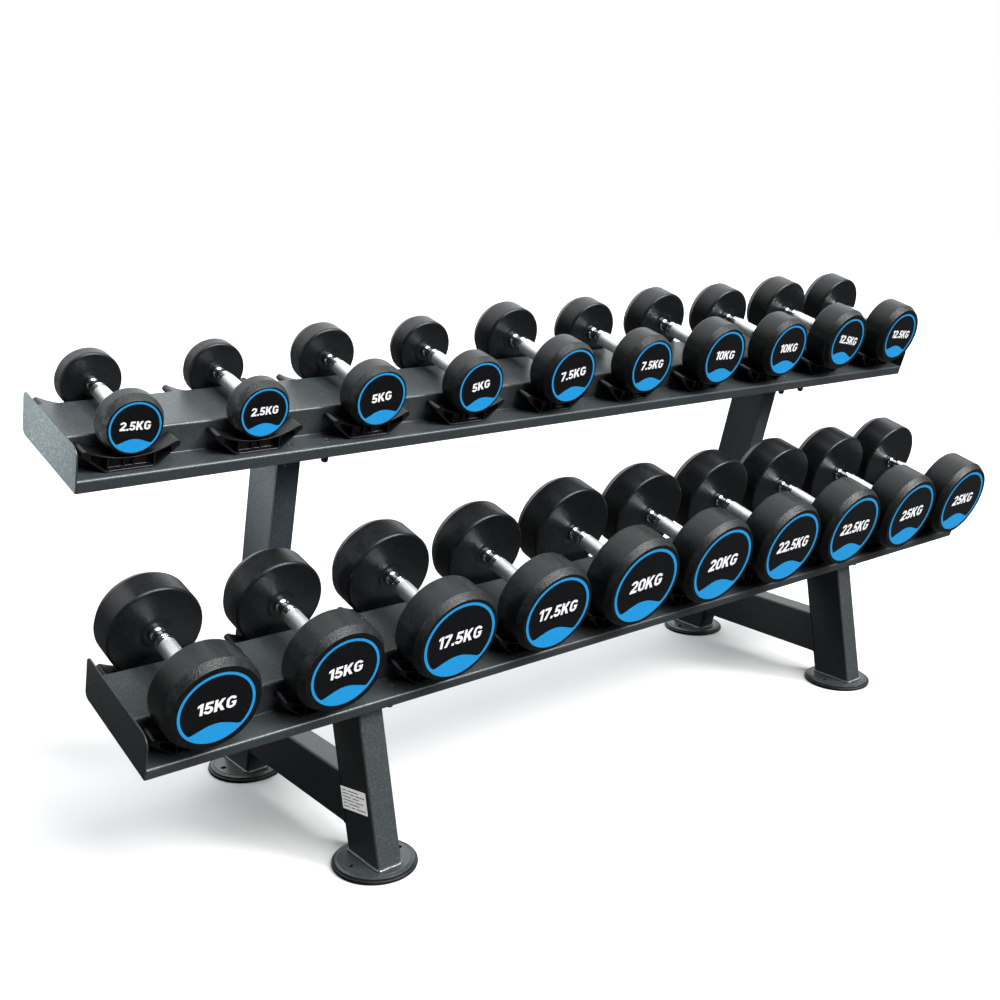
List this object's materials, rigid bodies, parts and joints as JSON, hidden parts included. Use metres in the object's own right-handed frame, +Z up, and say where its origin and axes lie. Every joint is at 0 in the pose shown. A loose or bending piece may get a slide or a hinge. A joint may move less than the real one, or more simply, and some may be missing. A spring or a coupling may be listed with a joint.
{
  "type": "dumbbell rack",
  "caption": "Two-tier sloped dumbbell rack on two braced side frames, with cradles holding pairs of round-head dumbbells that lift off.",
  "frame": {"origin": "on the floor, at the middle of the rack's box", "axes": "+X along the rack to the right as seen by a person facing it, +Y to the rear, +Z up"},
  "size_m": [2.1965, 0.6622, 0.9494],
  "materials": {
    "powder_coat": "satin",
    "foot_rubber": "matte",
    "bolt_black": "satin",
    "saddle_plastic": "satin",
    "dumbbell_head": "matte",
    "handle_chrome": "polished",
    "label_disc": "satin",
    "blue_print": "satin",
    "white_print": "satin",
    "weld_bead": "satin",
    "label_paper": "matte"
  },
  "bodies": {
    "rack": {"left_rear_post": "powder_coat", "left_front_leg": "powder_coat", "left_brace": "powder_coat", "left_front_foot_pad": "foot_rubber", "left_front_foot_plate": "powder_coat", "left_rear_foot_pad": "foot_rubber", "left_rear_foot_plate": "powder_coat", "right_rear_post": "powder_coat", "right_front_leg": "powder_coat", "right_brace": "powder_coat", "right_front_foot_pad": "foot_rubber", "right_front_foot_plate": "powder_coat", "right_rear_foot_pad": "foot_rubber", "right_rear_foot_plate": "powder_coat", "upper_tray": "powder_coat", "upper_left_end_plate": "powder_coat", "upper_left_bracket": "powder_coat", "upper_right_end_plate": "powder_coat", "upper_right_bracket": "powder_coat", "upper_left_bolt_1": "bolt_black", "upper_left_bolt_2": "bolt_black", "upper_right_bolt_1": "bolt_black", "upper_right_bolt_2": "bolt_black", "upper_front_left_saddles": "saddle_plastic", "upper_front_right_saddles": "saddle_plastic", "upper_rear_left_saddles": "saddle_plastic", "upper_rear_right_saddles": "saddle_plastic", "lower_tray": "powder_coat", "lower_left_end_plate": "powder_coat", "lower_left_bracket": "powder_coat", "lower_right_end_plate": "powder_coat", "lower_right_bracket": "powder_coat", "lower_left_bolt_1": "bolt_black", "lower_left_bolt_2": "bolt_black", "lower_right_bolt_1": "bolt_black", "lower_right_bolt_2": "bolt_black", "lower_front_left_saddles": "saddle_plastic", "lower_front_right_saddles": "saddle_plastic", "lower_rear_left_saddles": "saddle_plastic", "lower_rear_right_saddles": "saddle_plastic"},
    "dumbbell_2_5kg_a": {"dumbbell_2_5kg_a": "dumbbell_head"},
    "dumbbell_2_5kg_b": {"dumbbell_2_5kg_b": "dumbbell_head"},
    "dumbbell_5kg_a": {"dumbbell_5kg_a": "dumbbell_head"},
    "dumbbell_5kg_b": {"dumbbell_5kg_b": "dumbbell_head"},
    "dumbbell_7_5kg_a": {"dumbbell_7_5kg_a": "dumbbell_head"},
    "dumbbell_7_5kg_b": {"dumbbell_7_5kg_b": "dumbbell_head"},
    "dumbbell_10kg_a": {"dumbbell_10kg_a": "dumbbell_head"},
    "dumbbell_10kg_b": {"dumbbell_10kg_b": "dumbbell_head"},
    "dumbbell_12_5kg_a": {"dumbbell_12_5kg_a": "dumbbell_head"},
    "dumbbell_12_5kg_b": {"dumbbell_12_5kg_b": "dumbbell_head"},
    "dumbbell_15kg_a": {"dumbbell_15kg_a": "dumbbell_head"},
    "dumbbell_15kg_b": {"dumbbell_15kg_b": "dumbbell_head"},
    "dumbbell_17_5kg_a": {"dumbbell_17_5kg_a": "dumbbell_head"},
    "dumbbell_17_5kg_b": {"dumbbell_17_5kg_b": "dumbbell_head"},
    "dumbbell_20kg_a": {"dumbbell_20kg_a": "dumbbell_head"},
    "dumbbell_20kg_b": {"dumbbell_20kg_b": "dumbbell_head"},
    "dumbbell_22_5kg_a": {"dumbbell_22_5kg_a": "dumbbell_head"},
    "dumbbell_22_5kg_b": {"dumbbell_22_5kg_b": "dumbbell_head"},
    "dumbbell_25kg_a": {"dumbbell_25kg_a": "dumbbell_head"},
    "dumbbell_25kg_b": {"dumbbell_25kg_b": "dumbbell_head"}
  },
  "joints": [
    {"name": "lift_2_5kg_a", "type": "slide", "parent": "rack", "child": "dumbbell_2_5kg_a", "axis": [0, -0.2756, 0.9613], "range_m": [0, 0.2]},
    {"name": "lift_2_5kg_b", "type": "slide", "parent": "rack", "child": "dumbbell_2_5kg_b", "axis": [0, -0.2756, 0.9613], "range_m": [0, 0.2]},
    {"name": "lift_5kg_a", "type": "slide", "parent": "rack", "child": "dumbbell_5kg_a", "axis": [0, -0.2756, 0.9613], "range_m": [0, 0.2]},
    {"name": "lift_5kg_b", "type": "slide", "parent": "rack", "child": "dumbbell_5kg_b", "axis": [0, -0.2756, 0.9613], "range_m": [0, 0.2]},
    {"name": "lift_7_5kg_a", "type": "slide", "parent": "rack", "child": "dumbbell_7_5kg_a", "axis": [0, -0.2756, 0.9613], "range_m": [0, 0.2]},
    {"name": "lift_7_5kg_b", "type": "slide", "parent": "rack", "child": "dumbbell_7_5kg_b", "axis": [0, -0.2756, 0.9613], "range_m": [0, 0.2]},
    {"name": "lift_10kg_a", "type": "slide", "parent": "rack", "child": "dumbbell_10kg_a", "axis": [0, -0.2756, 0.9613], "range_m": [0, 0.2]},
    {"name": "lift_10kg_b", "type": "slide", "parent": "rack", "child": "dumbbell_10kg_b", "axis": [0, -0.2756, 0.9613], "range_m": [0, 0.2]},
    {"name": "lift_12_5kg_a", "type": "slide", "parent": "rack", "child": "dumbbell_12_5kg_a", "axis": [0, -0.2756, 0.9613], "range_m": [0, 0.2]},
    {"name": "lift_12_5kg_b", "type": "slide", "parent": "rack", "child": "dumbbell_12_5kg_b", "axis": [0, -0.2756, 0.9613], "range_m": [0, 0.2]},
    {"name": "lift_15kg_a", "type": "slide", "parent": "rack", "child": "dumbbell_15kg_a", "axis": [0, -0.2756, 0.9613], "range_m": [0, 0.2]},
    {"name": "lift_15kg_b", "type": "slide", "parent": "rack", "child": "dumbbell_15kg_b", "axis": [0, -0.2756, 0.9613], "range_m": [0, 0.2]},
    {"name": "lift_17_5kg_a", "type": "slide", "parent": "rack", "child": "dumbbell_17_5kg_a", "axis": [0, -0.2756, 0.9613], "range_m": [0, 0.2]},
    {"name": "lift_17_5kg_b", "type": "slide", "parent": "rack", "child": "dumbbell_17_5kg_b", "axis": [0, -0.2756, 0.9613], "range_m": [0, 0.2]},
    {"name": "lift_20kg_a", "type": "slide", "parent": "rack", "child": "dumbbell_20kg_a", "axis": [0, -0.2756, 0.9613], "range_m": [0, 0.2]},
    {"name": "lift_20kg_b", "type": "slide", "parent": "rack", "child": "dumbbell_20kg_b", "axis": [0, -0.2756, 0.9613], "range_m": [0, 0.2]},
    {"name": "lift_22_5kg_a", "type": "slide", "parent": "rack", "child": "dumbbell_22_5kg_a", "axis": [0, -0.2756, 0.9613], "range_m": [0, 0.2]},
    {"name": "lift_22_5kg_b", "type": "slide", "parent": "rack", "child": "dumbbell_22_5kg_b", "axis": [0, -0.2756, 0.9613], "range_m": [0, 0.2]},
    {"name": "lift_25kg_a", "type": "slide", "parent": "rack", "child": "dumbbell_25kg_a", "axis": [0, -0.2756, 0.9613], "range_m": [0, 0.2]},
    {"name": "lift_25kg_b", "type": "slide", "parent": "rack", "child": "dumbbell_25kg_b", "axis": [0, -0.2756, 0.9613], "range_m": [0, 0.2]}
  ]
}
